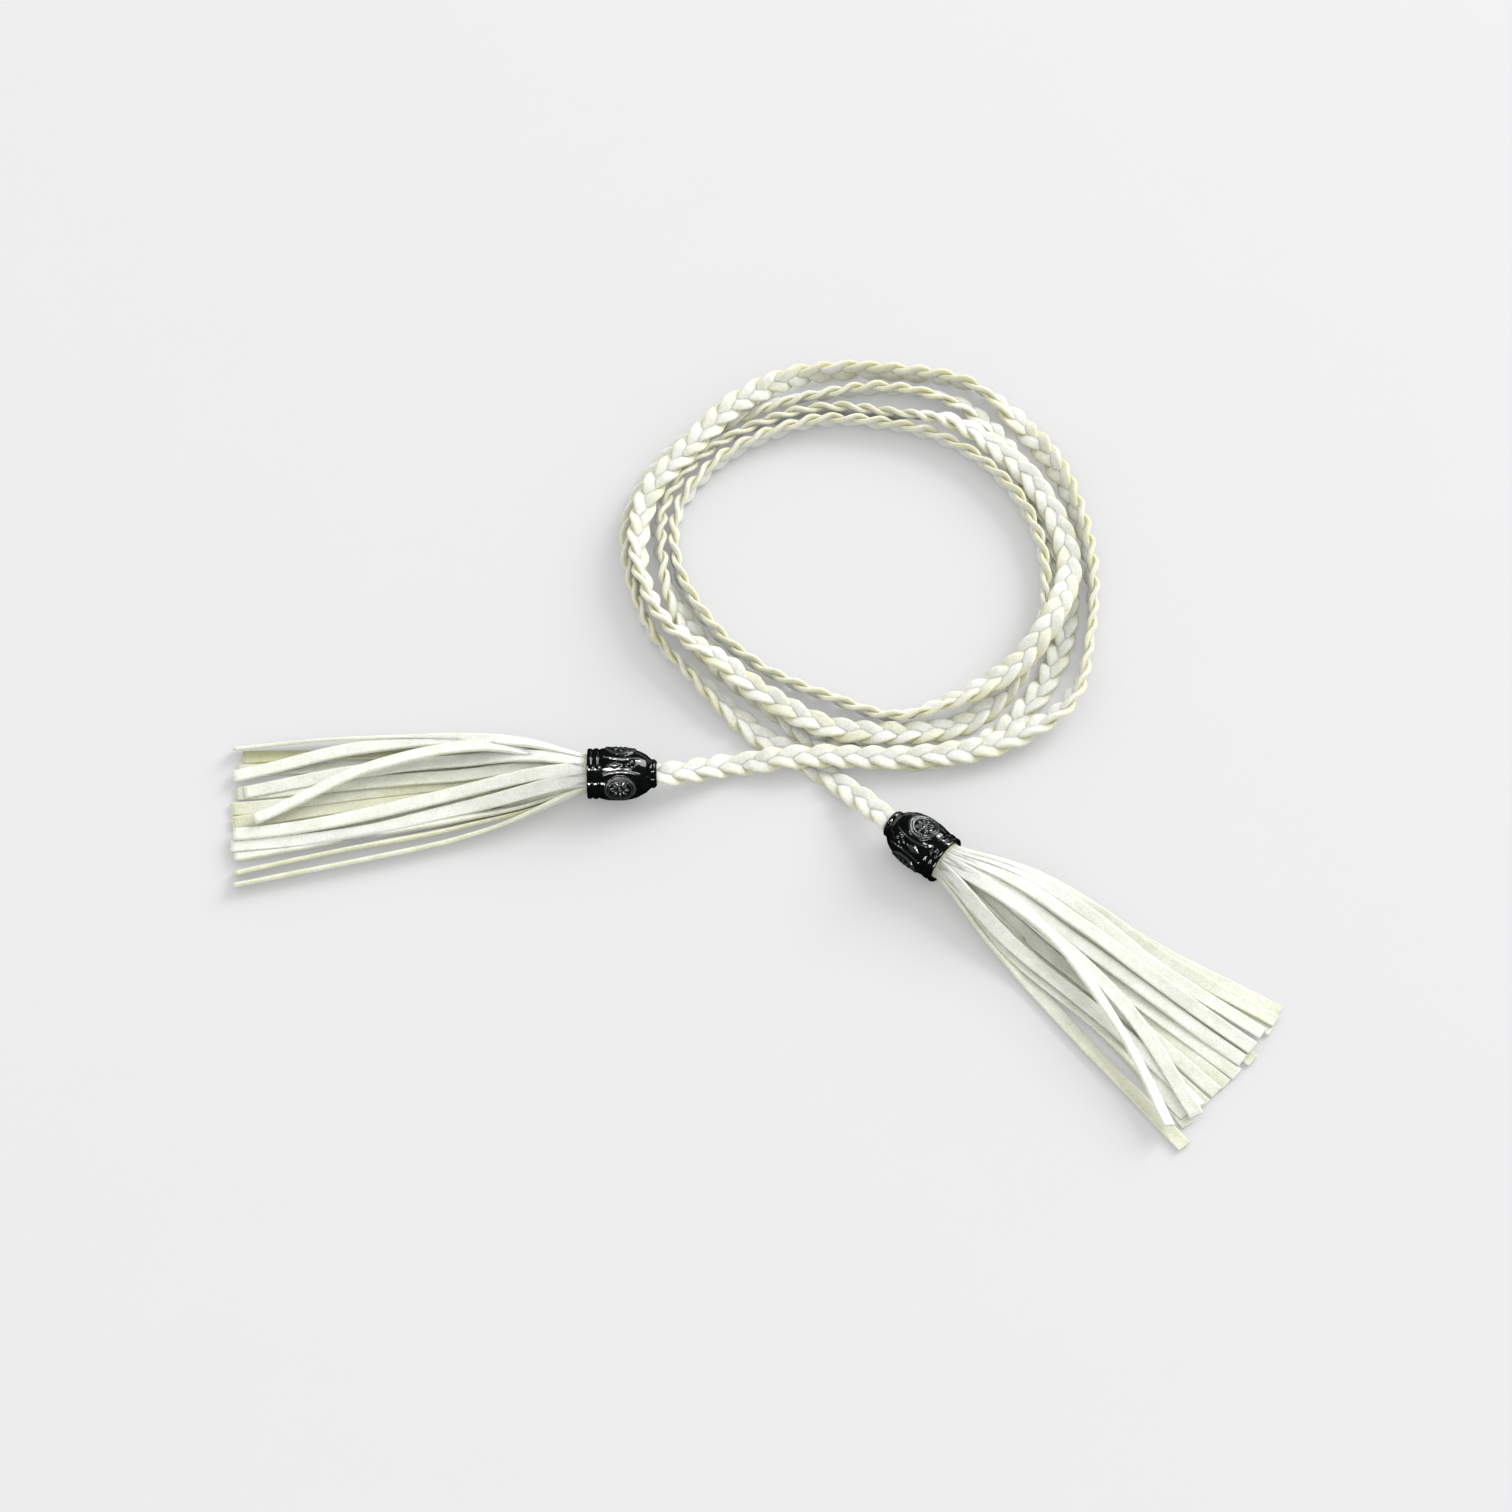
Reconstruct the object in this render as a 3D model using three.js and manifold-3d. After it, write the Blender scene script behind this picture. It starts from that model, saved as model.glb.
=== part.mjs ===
// Braided tie belt: a flat plait laid in almost four laps, with a carved bead and a tassel at each end.
// Millimetres, +Z up, the floor at z = 0.
import * as THREE from 'three';
import { mergeVertices } from 'three/addons/utils/BufferGeometryUtils.js';
import Module from 'manifold-3d';

// Braid
const BRAID_WIDTH = 7.3;
const BRAID_THICK = 2.5;
const BRAID_FLAT_SHARE = 0.32;
const LOBE_PITCH = 7.1;
const LOBE_NOTCH = 0.13;
const LAYER_GAP = 0.35;
const END_WIDTH_SHARE = 0.79;
const END_TAPER = 4.0;

// After a union, edges shorter than this are joined to their neighbours.
const BEAD_FINENESS = 0.15;
const TASSEL_FINENESS = 0.4;

// Coil
const COIL_RADIUS = 60;
const COIL_X = 31.7;
const COIL_Y = 55.8;

// Beads
const BEAD_LENGTH = 19.2;
const BEAD_RADIUS = 7.55;
const RELIEF_HEIGHT = 0.35;
const RELIEF_SUNK = 0.45;
const BODY_RADIUS = BEAD_RADIUS - RELIEF_HEIGHT;
const NECK_BORE = 3.3;
const RIM_BORE = 6.0;
const NECK_BORE_LENGTH = 5.0;
const BRAID_IN_BEAD = 9.0;
const HEAD_START = 11.0;
const BEAD_SIDES = 12;
const MEDALLION_PLACE = 0.52;
const LEAF_PLACE = 0.6;

// Tassels
const TASSEL_LENGTH = 100;
const STRIP_WIDTH = 3.9;
const STRIP_THICK = 1.0;
const STRIP_STEPS = 6;
const HEAD_GAP = 0.5;
const STRIP_LAYER = 1.2;
const HEAD_RADIUS = RIM_BORE - HEAD_GAP;
const HEAD_SIDES = 16;
const ROOT_IN_HEAD = 3.0;
const HEAD_OUT = 0.5;
const FALL_SHARE = 0.42;
const TIP_DROP = 0.5;

// Turn is the compass direction from the coil's middle. Reach is the distance there as a share of
// COIL_RADIUS, level the layers underneath and twist the turn of the band about its own line, lap by lap.
const LAPS = 4;
const COIL = [
  { turn: 280, reach: [1.09, 0.955, 0.855, 1.07], level: [1.1, 1, 0, 0], twist: [0, 180, 116, 360] },
  { turn: 300, reach: [1.175, 0.99, 0.89, 1.13], level: [1.1, 0, 0.9, 0], twist: [0, 180, 145, 360] },
  { turn: 320, reach: [1.25, 0.955, 0.945, 1.09], level: [0.8, 0, 2, 0], twist: [-45, 165, 175, 360] },
  { turn: 340, reach: [1.165, 0.92, 0.98, 1.04], level: [0, 0, 2.8, 0], twist: [-90, 100, 180, 360] },
  { turn: 0, reach: [1.115, 0.895, 1.01, 0.99], level: [0, 0, 1.15, 0], twist: [-75, 90, 180, 360] },
  { turn: 20, reach: [1.11, 0.878, 0.985, 0.97], level: [0, 0, 1.15, 0], twist: [-60, 85, 180, 360] },
  { turn: 40, reach: [1.15, 0.863, 0.955, 1], level: [0, 0, 1.4, 0], twist: [-20, 75, 180, 365] },
  { turn: 60, reach: [1.205, 0.853, 0.935, 1.08], level: [0, 0, 1.2, 0], twist: [68, 70, 215, 395] },
  { turn: 80, reach: [1.157, 0.837, 0.9, 1.055], level: [0, 0, 0, 0], twist: [88, 70, 250, 430] },
  { turn: 100, reach: [1.145, 0.862, 0.93, 1.015], level: [0.1, 0, 0, 0], twist: [105, 70, 250, 425] },
  { turn: 120, reach: [1.08, 0.875, 0.95, 1.055], level: [1.8, 0, 0, 0], twist: [150, 80, 245, 385] },
  { turn: 140, reach: [1.03, 0.905, 0.995, 1.105], level: [2.3, 0, 0, 0], twist: [170, 87, 232, 360] },
  { turn: 160, reach: [1.07, 0.923, 1.005, 1.12], level: [2.1, 0, 0, 0], twist: [175, 90, 235, 345] },
  { turn: 180, reach: [1.05, 0.867, 0.935, 1.09], level: [1.3, 0, 0, 0], twist: [130, 90, 270, 300] },
  { turn: 200, reach: [0.99, 0.797, 0.89, 1.055], level: [1.4, 0, 0, 0], twist: [125, 95, 335, 275] },
  { turn: 220, reach: [0.89, 0.755, 0.855, 1], level: [2.3, 0, 0, 0], twist: [160, 105, 358, 305] },
  { turn: 240, reach: [0.88, 0.735, 0.865, 1.035], level: [1.8, 0, 0, 0], twist: [180, 114, 358, 350] },
  { turn: 260, reach: [0.925, 0.757, 0.985], level: [1.2, 0, 0], twist: [180, 116, 360] },
];

// The two tails, from the coil's middle in shares of COIL_RADIUS. The rows at BEAD_LEVEL lie on a bead's axis.
const BEAD_LEVEL = (BEAD_RADIUS - BRAID_THICK / 2) / (BRAID_THICK + LAYER_GAP);
const LEFT_TAIL = [
  { x: -1.097, y: -1.19, level: BEAD_LEVEL },
  { x: -0.997, y: -1.19, level: BEAD_LEVEL },
  { x: -0.897, y: -1.188, level: 2.15 },
  { x: -0.783, y: -1.155, level: 1.5 },
  { x: -0.667, y: -1.115, level: 0.75 },
  { x: -0.55, y: -1.09, level: 0.45 },
  { x: -0.433, y: -1.088, level: 1.1 },
  { x: -0.308, y: -1.072, level: 1.15 },
  { x: -0.147, y: -1.065, level: 1.1 },
  { x: 0.02, y: -1.072, level: 1.1 },
];
const RIGHT_TAIL = [
  { x: -0.415, y: -0.97, level: 0 },
  { x: -0.295, y: -1.047, level: 0 },
  { x: -0.178, y: -1.125, level: 0 },
  { x: -0.075, y: -1.222, level: 0.45 },
  { x: 0.015, y: -1.323, level: 1.4 },
  { x: 0.09, y: -1.413, level: 2.15 },
  { x: 0.167, y: -1.477, level: BEAD_LEVEL },
  { x: 0.243, y: -1.54, level: BEAD_LEVEL },
];

// Where each bead's neck face is, in shares of COIL_RADIUS, the way its rim points and its own turn.
const LEFT_BEAD = { x: -0.947, y: -1.19, heading: 180, roll: 20 };
const RIGHT_BEAD = { x: 0.127, y: -1.445, heading: -39.5, roll: 75 };

// The bead's outline from neck to rim: place along it and radius, as shares of its length and of BODY_RADIUS.
const BEAD_OUTLINE = [
  { along: 0, radius: 0.5 },
  { along: 0.07, radius: 0.54 },
  { along: 0.15, radius: 0.73 },
  { along: 0.3, radius: 0.91 },
  { along: 0.5, radius: 1 },
  { along: 0.68, radius: 1 },
  { along: 0.8, radius: 0.97 },
  { along: 0.83, radius: 0.93 },
  { along: 0.86, radius: 0.98 },
  { along: 0.91, radius: 0.97 },
  { along: 0.93, radius: 0.92 },
  { along: 0.95, radius: 0.96 },
  { along: 1, radius: 0.93 },
];

// Each strip: where it leaves the mouth as a clock angle and a share of the head's radius, then in shares
// of TASSEL_LENGTH its distance across at a third, at two thirds and at its tip and its length, then the
// layers under it and the turn of its width about its own line at its tip.
const LEFT_STRIPS = [
  { clock: 190, share: 0.82, third: -0.13, twoThirds: -0.138, tip: -0.108, length: 0.995, level: 1.2, turn: 55 },
  { clock: 160, share: 0.82, third: -0.095, twoThirds: -0.096, tip: -0.09, length: 0.97, level: 0, turn: 10 },
  { clock: 140, share: 0.82, third: -0.122, twoThirds: -0.1, tip: -0.02, length: 0.99, level: 3.2, turn: 0 },
  { clock: 105, share: 0.82, third: -0.065, twoThirds: -0.032, tip: 0.028, length: 0.955, level: 2.2, turn: 0 },
  { clock: 120, share: 0.4, third: -0.088, twoThirds: -0.022, tip: 0.123, length: 0.92, level: 4.4, turn: 30 },
  { clock: 90, share: 0.4, third: -0.046, twoThirds: -0.01, tip: 0.024, length: 0.98, level: 0.17, turn: 0 },
  { clock: 60, share: 0.4, third: -0.008, twoThirds: 0.034, tip: 0.078, length: 0.99, level: 0.34, turn: 0 },
  { clock: 75, share: 0.82, third: 0.035, twoThirds: 0.122, tip: 0.165, length: 0.975, level: 3.4, turn: 0 },
  { clock: 30, share: 0.5, third: 0.034, twoThirds: 0.072, tip: 0.122, length: 0.985, level: 0.51, turn: 0 },
  { clock: 45, share: 0.82, third: 0.085, twoThirds: 0.165, tip: 0.196, length: 0.98, level: 2.3, turn: 0 },
  { clock: 10, share: 0.82, third: 0.074, twoThirds: 0.13, tip: 0.172, length: 0.97, level: 0.68, turn: 0 },
  { clock: 340, share: 0.82, third: 0.12, twoThirds: 0.185, tip: 0.238, length: 0.97, level: 1.2, turn: 20 },
  { clock: 320, share: 0.82, third: 0.14, twoThirds: 0.208, tip: 0.282, length: 0.965, level: 0, turn: 50 },
  { clock: 350, share: 0.82, third: 0.165, twoThirds: 0.246, tip: 0.32, length: 0.965, level: 0.17, turn: 60 },
  { clock: 225, share: 0.82, third: -0.062, twoThirds: -0.056, tip: -0.055, length: 0.98, level: 0.34, turn: 0 },
  { clock: 260, share: 0.82, third: -0.024, twoThirds: 0, tip: 0.03, length: 0.975, level: 1.1, turn: 0 },
  { clock: 290, share: 0.82, third: 0.05, twoThirds: 0.115, tip: 0.215, length: 0.95, level: 1.1, turn: 0 },
];
const RIGHT_STRIPS = [
  { clock: 10, share: 0.82, third: 0.15, twoThirds: 0.186, tip: 0.238, length: 0.955, level: 0, turn: 0 },
  { clock: 35, share: 0.82, third: 0.156, twoThirds: 0.163, tip: 0.205, length: 0.965, level: 1.1, turn: 0 },
  { clock: 350, share: 0.82, third: 0.12, twoThirds: 0.14, tip: 0.18, length: 0.97, level: 0.17, turn: 0 },
  { clock: 55, share: 0.82, third: 0.135, twoThirds: 0.128, tip: 0.15, length: 0.96, level: 2.2, turn: 0 },
  { clock: 75, share: 0.82, third: 0.09, twoThirds: 0.09, tip: 0.1, length: 0.965, level: 3.3, turn: 0 },
  { clock: 320, share: 0.82, third: 0.06, twoThirds: 0.08, tip: 0.075, length: 0.985, level: 0.34, turn: 0 },
  { clock: 95, share: 0.82, third: 0.05, twoThirds: 0.05, tip: 0.052, length: 0.965, level: 2.3, turn: 0 },
  { clock: 90, share: 0.4, third: 0.016, twoThirds: 0.016, tip: 0.012, length: 0.975, level: 1.1, turn: 0 },
  { clock: 270, share: 0.5, third: 0, twoThirds: -0.01, tip: -0.03, length: 0.97, level: 0.51, turn: 0 },
  { clock: 130, share: 0.4, third: -0.02, twoThirds: -0.036, tip: -0.065, length: 0.965, level: 1.2, turn: 0 },
  { clock: 70, share: 0.4, third: 0.012, twoThirds: -0.03, tip: -0.155, length: 0.965, level: 3.4, turn: 0 },
  { clock: 115, share: 0.82, third: 0.01, twoThirds: -0.08, tip: -0.235, length: 0.93, level: 5, turn: -40 },
  { clock: 150, share: 0.82, third: -0.05, twoThirds: -0.075, tip: -0.11, length: 0.96, level: 0.68, turn: 0 },
  { clock: 140, share: 0.82, third: -0.075, twoThirds: -0.09, tip: -0.13, length: 0.955, level: 2.4, turn: 0 },
  { clock: 170, share: 0.82, third: -0.095, twoThirds: -0.12, tip: -0.175, length: 0.94, level: 1.2, turn: 0 },
  { clock: 210, share: 0.82, third: -0.075, twoThirds: -0.142, tip: -0.212, length: 0.96, level: 0, turn: 0 },
  { clock: 190, share: 0.82, third: -0.11, twoThirds: -0.18, tip: -0.245, length: 0.99, level: 0.17, turn: -10 },
];

const Z = new THREE.Vector3(0, 0, 1);
const radians = THREE.MathUtils.degToRad;

const wasm = await Module();
wasm.setup();

function welded(geometry) {
  const bare = geometry.clone();
  bare.deleteAttribute('normal');
  bare.deleteAttribute('uv');
  return mergeVertices(bare, 1e-4);
}

function toSolid(geometry) {
  const closed = welded(geometry);
  return new wasm.Manifold(new wasm.Mesh({
    numProp: 3,
    vertProperties: new Float32Array(closed.attributes.position.array),
    triVerts: new Uint32Array(closed.index.array),
  }));
}

// The outer skin of a solid: pockets shut in between its pieces are filled.
function filled(solid) {
  const skins = solid.decompose();
  skins.sort((a, b) => b.volume() - a.volume());
  return skins[0];
}

function toGeometry(solid) {
  const mesh = solid.getMesh();
  const geometry = new THREE.BufferGeometry();
  geometry.setAttribute('position', new THREE.BufferAttribute(new Float32Array(mesh.vertProperties), 3));
  geometry.setIndex(new THREE.BufferAttribute(new Uint32Array(mesh.triVerts), 1));
  geometry.computeVertexNormals();
  return geometry;
}

// Moves every vertex to the place that a function gives for it.
function bend(geometry, place) {
  const position = geometry.attributes.position;
  for (let i = 0; i < position.count; i += 1) {
    const to = place(position.getX(i), position.getY(i), position.getZ(i));
    position.setXYZ(i, to.x, to.y, to.z);
  }
  return geometry;
}

// Height of the middle of a flat bar above the floor, from its twist and the layers under it.
function lift(width, thick, twist, level, layer) {
  const angle = radians(twist);
  return (width / 2) * Math.abs(Math.sin(angle)) + (thick / 2) * Math.abs(Math.cos(angle)) + level * layer;
}

function routeRows() {
  const tail = (row, twist) => ({ ...row, x: COIL_RADIUS * row.x, y: COIL_RADIUS * row.y, twist });
  const rows = LEFT_TAIL.map((row) => tail(row, 0));
  for (let lap = 0; lap < LAPS; lap += 1) {
    for (const row of COIL) {
      if (lap < row.reach.length) {
        const reach = COIL_RADIUS * row.reach[lap];
        rows.push({
          x: reach * Math.cos(radians(row.turn)),
          y: reach * Math.sin(radians(row.turn)),
          level: row.level[lap],
          twist: row.twist[lap],
        });
      }
    }
  }
  rows.push(...RIGHT_TAIL.map((row) => tail(row, 360)));
  return rows;
}

// A smooth line through the rows, sampled with its length so far, its direction and its two cross directions.
function sampleRoute(rows, perRow) {
  const plan = new THREE.CatmullRomCurve3(
    rows.map((row) => new THREE.Vector3(COIL_X + row.x, COIL_Y + row.y, row.level)), false, 'catmullrom', 0.5);
  const turning = new THREE.CatmullRomCurve3(
    rows.map((row) => new THREE.Vector3(row.twist, 0, 0)), false, 'catmullrom', 0.5);
  const count = (rows.length - 1) * perRow;
  const samples = [];
  for (let i = 0; i <= count; i += 1) {
    const point = plan.getPoint(i / count);
    const twist = turning.getPoint(i / count).x;
    point.z = lift(BRAID_WIDTH, BRAID_THICK, twist, point.z, BRAID_THICK + LAYER_GAP);
    samples.push({ point, twist });
  }
  let run = 0;
  samples.forEach((sample, i) => {
    const before = samples[Math.max(i - 1, 0)].point;
    const after = samples[Math.min(i + 1, count)].point;
    if (i > 0) {
      run += sample.point.distanceTo(before);
    }
    const along = after.clone().sub(before).normalize();
    const out = along.clone().cross(Z).normalize();
    const up = out.clone().cross(along);
    const angle = radians(-sample.twist);
    sample.run = run;
    sample.across = out.clone().multiplyScalar(Math.cos(angle)).addScaledVector(up, Math.sin(angle));
    sample.face = along.clone().cross(sample.across);
  });
  return samples;
}

function sampleAt(samples, run) {
  let i = 1;
  while (i < samples.length - 1 && samples[i].run < run) {
    i += 1;
  }
  const before = samples[i - 1];
  const after = samples[i];
  const share = THREE.MathUtils.clamp((run - before.run) / (after.run - before.run), 0, 1);
  return {
    point: before.point.clone().lerp(after.point, share),
    across: before.across.clone().lerp(after.across, share).normalize(),
    face: before.face.clone().lerp(after.face, share).normalize(),
  };
}

// A straight bar along z whose cross section is the given outline.
function bar(outline, length, steps) {
  const shape = new THREE.Shape(outline.map(([x, y]) => new THREE.Vector2(x, y)));
  return new THREE.ExtrudeGeometry(shape, { depth: length, steps, bevelEnabled: false, curveSegments: 1 });
}

function makeBraid() {
  const samples = sampleRoute(routeRows(), 12);
  const length = samples[samples.length - 1].run;
  const steps = 2 * Math.round(length / LOBE_PITCH);
  const half = BRAID_WIDTH / 2;
  const flat = BRAID_WIDTH * BRAID_FLAT_SHARE;
  const thick = BRAID_THICK / 2;
  const outline = [[half, 0], [flat, thick], [-flat, thick], [-half, 0], [-flat, -thick], [flat, -thick]];
  const frames = Array.from({ length: steps + 1 }, (_, i) => sampleAt(samples, (length * i) / steps));
  return bend(bar(outline, length, steps), (x, y, z) => {
    const step = Math.round((z / length) * steps);
    const frame = frames[step];
    const bulges = (step % 2 === 0) === (x > 0);
    const fromEnd = Math.min(z, length - z) - (BRAID_IN_BEAD - END_TAPER);
    const taper = THREE.MathUtils.smoothstep(fromEnd, 0, 2 * END_TAPER);
    const share = (END_WIDTH_SHARE + (1 - END_WIDTH_SHARE) * taper) * (bulges ? 1 : 1 - LOBE_NOTCH);
    const place = frame.point.clone().addScaledVector(frame.across, x * share).addScaledVector(frame.face, y);
    return place.setZ(Math.max(place.z, 0));
  });
}

function outlineRadius(along) {
  const share = THREE.MathUtils.clamp(along / BEAD_LENGTH, 0, 1);
  let i = 1;
  while (i < BEAD_OUTLINE.length - 1 && BEAD_OUTLINE[i].along < share) {
    i += 1;
  }
  const before = BEAD_OUTLINE[i - 1];
  const after = BEAD_OUTLINE[i];
  const part = (share - before.along) / (after.along - before.along);
  return BODY_RADIUS * (before.radius + (after.radius - before.radius) * part);
}

// Wraps a flat ornament round the bead: x along it, y round it and z out of its surface.
function wrap(geometry, along, clock) {
  return bend(geometry, (x, y, z) => {
    const radius = outlineRadius(along + x) + z;
    const angle = radians(clock) - y / BODY_RADIUS;
    return new THREE.Vector3(along + x, radius * Math.cos(angle), radius * Math.sin(angle));
  });
}

// A raised flat shape: it stands out by the relief's height and is sunk below the surface.
function raised(shape) {
  const tall = RELIEF_HEIGHT + RELIEF_SUNK;
  return new THREE.ExtrudeGeometry(shape, { depth: tall, steps: 1, bevelEnabled: false, curveSegments: 5 })
    .translate(0, 0, -RELIEF_SUNK);
}

// A star of so many points, its tips and valleys as shares of BODY_RADIUS.
function star(points, tip, valley, turn = 0) {
  const corners = [];
  for (let i = 0; i < 2 * points; i += 1) {
    const reach = BODY_RADIUS * (i % 2 === 0 ? tip : valley);
    const angle = (Math.PI * i) / points + radians(turn);
    corners.push(new THREE.Vector2(reach * Math.cos(angle), reach * Math.sin(angle)));
  }
  return new THREE.Shape(corners);
}

// A round hoop with an open middle.
function hoop(outer, inner) {
  const shape = star(4, outer, outer);
  shape.holes.push(star(4, inner, inner));
  return shape;
}

function beadOrnament() {
  const pieces = [];
  for (let side = 0; side < 3; side += 1) {
    const clock = 120 * side;
    pieces.push(wrap(raised(hoop(0.62, 0.5)), MEDALLION_PLACE * BEAD_LENGTH, clock));
    pieces.push(wrap(raised(star(4, 0.4, 0.2)), MEDALLION_PLACE * BEAD_LENGTH, clock));
    pieces.push(wrap(raised(star(2, 0.34, 0.14, 90)), LEAF_PLACE * BEAD_LENGTH, clock + 60));
  }
  return pieces;
}

function makeBead(bead) {
  const bore = [
    new THREE.Vector2(RIM_BORE, BEAD_LENGTH),
    new THREE.Vector2(RIM_BORE, NECK_BORE_LENGTH + RIM_BORE - NECK_BORE),
    new THREE.Vector2(NECK_BORE, NECK_BORE_LENGTH),
    new THREE.Vector2(NECK_BORE, 0),
  ];
  const outside = BEAD_OUTLINE.map(
    (row) => new THREE.Vector2(BODY_RADIUS * row.radius, BEAD_LENGTH * row.along));
  const profile = [...outside, ...bore, outside[0]];
  const body = new THREE.LatheGeometry(profile, BEAD_SIDES).rotateZ(-Math.PI / 2).rotateX(Math.PI / 2);
  let solid = toSolid(body);
  for (const piece of beadOrnament()) {
    solid = solid.add(toSolid(piece));
  }
  return toGeometry(solid.simplify(BEAD_FINENESS))
    .rotateX(radians(bead.roll))
    .rotateZ(radians(bead.heading))
    .translate(COIL_X + COIL_RADIUS * bead.x, COIL_Y + COIL_RADIUS * bead.y, BEAD_RADIUS);
}

// One strip out of the head: along x from the mouth, y across and z above the floor.
function makeStrip(strip) {
  const clock = radians(strip.clock);
  const leave = new THREE.Vector3(
    0, strip.share * HEAD_RADIUS * Math.cos(clock), strip.share * HEAD_RADIUS * Math.sin(clock));
  const start = leave.clone().setX(-ROOT_IN_HEAD);
  const length = TASSEL_LENGTH * strip.length;
  const plan = new THREE.CatmullRomCurve3([
    start,
    leave,
    new THREE.Vector3(length / 3, TASSEL_LENGTH * strip.third, 0),
    new THREE.Vector3((2 * length) / 3, TASSEL_LENGTH * strip.twoThirds, 0),
    new THREE.Vector3(length, TASSEL_LENGTH * strip.tip, 0),
  ], false, 'centripetal');
  const roll = (((strip.clock - 90) % 180) + 270) % 180 - 90;
  const frameAt = (share) => {
    const point = plan.getPoint(share);
    const along = point.x / length;
    const fallen = THREE.MathUtils.smoothstep(along, 0, FALL_SHARE);
    const turn = roll + (strip.turn - roll) * fallen;
    const settled = 1 - TIP_DROP * THREE.MathUtils.smoothstep(along, 0.6, 1);
    const rest = lift(STRIP_WIDTH, STRIP_THICK, strip.turn, strip.level * settled, STRIP_LAYER);
    point.z = (BEAD_RADIUS + leave.z) * (1 - fallen) + rest * fallen;
    return { point, turn };
  };
  return bend(bar([
    [STRIP_WIDTH / 2, STRIP_THICK / 2], [-STRIP_WIDTH / 2, STRIP_THICK / 2],
    [-STRIP_WIDTH / 2, -STRIP_THICK / 2], [STRIP_WIDTH / 2, -STRIP_THICK / 2],
  ], length, STRIP_STEPS), (x, y, z) => {
    const share = z / length;
    const frame = frameAt(share);
    const before = frameAt(Math.max(share - 0.02, 0)).point;
    const after = frameAt(Math.min(share + 0.02, 1)).point;
    const along = after.sub(before).normalize();
    const level = Z.clone().cross(along).normalize();
    const up = along.clone().cross(level);
    const angle = radians(frame.turn);
    const across = level.clone().multiplyScalar(Math.cos(angle)).addScaledVector(up, Math.sin(angle));
    const face = along.clone().cross(across);
    const place = frame.point.addScaledVector(across, x).addScaledVector(face, y);
    return place.setZ(Math.max(place.z, 0));
  });
}

function makeTassel(bead, strips) {
  const inside = BEAD_LENGTH - HEAD_START;
  const head = new THREE.CylinderGeometry(HEAD_RADIUS, HEAD_RADIUS, inside + HEAD_OUT, HEAD_SIDES)
    .rotateZ(Math.PI / 2)
    .translate(-(inside - HEAD_OUT) / 2, 0, BEAD_RADIUS);
  let solid = toSolid(head);
  for (const strip of strips) {
    solid = solid.add(toSolid(makeStrip(strip)));
  }
  const heading = radians(bead.heading);
  return toGeometry(filled(solid.simplify(TASSEL_FINENESS)))
    .rotateZ(heading)
    .translate(
      COIL_X + COIL_RADIUS * bead.x + BEAD_LENGTH * Math.cos(heading),
      COIL_Y + COIL_RADIUS * bead.y + BEAD_LENGTH * Math.sin(heading),
      0);
}

function named(name, geometry, color, roughness) {
  const mesh = new THREE.Mesh(geometry, new THREE.MeshStandardMaterial({ color, roughness, metalness: 0 }));
  mesh.name = name;
  return mesh;
}

const SUEDE = 0xf1efe2;
const GLAZE = 0x14171a;

const belt = new THREE.Group();
belt.name = 'braided_tie_belt';
belt.add(named('braid', welded(makeBraid()), SUEDE, 0.9));
belt.add(named('bead_left', makeBead(LEFT_BEAD), GLAZE, 0.25));
belt.add(named('bead_right', makeBead(RIGHT_BEAD), GLAZE, 0.25));
belt.add(named('tassel_left', makeTassel(LEFT_BEAD, LEFT_STRIPS), SUEDE, 0.9));
belt.add(named('tassel_right', makeTassel(RIGHT_BEAD, RIGHT_STRIPS), SUEDE, 0.9));

export default belt;
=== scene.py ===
"""Looks of a braided tie belt: plaited suede laces, glazed carved beads and tassels of flat strips."""
import math
from collections import namedtuple

import bpy
import numpy as np
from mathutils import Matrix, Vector


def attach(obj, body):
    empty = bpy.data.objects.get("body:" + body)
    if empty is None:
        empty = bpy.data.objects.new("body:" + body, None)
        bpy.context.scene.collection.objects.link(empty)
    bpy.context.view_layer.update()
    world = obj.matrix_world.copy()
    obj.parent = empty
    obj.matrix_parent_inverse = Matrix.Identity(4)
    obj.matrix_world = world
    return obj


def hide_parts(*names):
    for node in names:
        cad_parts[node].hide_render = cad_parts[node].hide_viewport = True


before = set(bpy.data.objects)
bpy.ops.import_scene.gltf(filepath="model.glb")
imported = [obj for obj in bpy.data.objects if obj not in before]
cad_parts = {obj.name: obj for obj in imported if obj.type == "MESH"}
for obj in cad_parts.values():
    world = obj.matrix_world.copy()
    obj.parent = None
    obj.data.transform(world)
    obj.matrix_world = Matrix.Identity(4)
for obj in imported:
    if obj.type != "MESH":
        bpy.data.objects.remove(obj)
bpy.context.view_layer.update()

MM = 0.001
SEED = 7

# No lace or strip comes closer to the floor than this, in millimetres.
LEAST_HEIGHT = 0.02

# Braid, in millimetres. COIL_X and COIL_Y are the coil's middle.
BRAID_WIDTH = 7.3
BRAID_THICK = 2.5
LAYER_GAP = 0.35
LOBE_PITCH = 7.1
COIL_RADIUS = 60.0
COIL_X = 31.7
COIL_Y = 55.8
LAPS = 4
ROUTE_STEPS = 16

# Laces of the braid, in millimetres. The section is an ellipse squared off by its two powers.
LACE_COUNT = 3
LACE_WIDTH = 3.7
LACE_THICK = 1.5
LACE_SWING = 1.85
LACE_LIFT = 0.62
LACE_TILT = 0.36
LACE_STEP = 0.8
LACE_SIDES = 16
LACE_SIDE_POWER = 0.85
LACE_FACE_POWER = 0.65
LACE_FUZZ = 0.06

# At each end of the braid the laces have these shares of their swing and width, and the full ones further
# than END_TO from it.
END_SWING = 0.82
END_WIDTH = 0.84
END_FROM = 5.0
END_TO = 10.0

# How far a lace strays from the regular plait, and over what distance.
STRAY_PHASE = (0.2, 15)
STRAY_LIFT = (0.15, 9)
STRAY_TILT = (0.1, 8)
STRAY_WIDTH = (0.08, 6)

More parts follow.
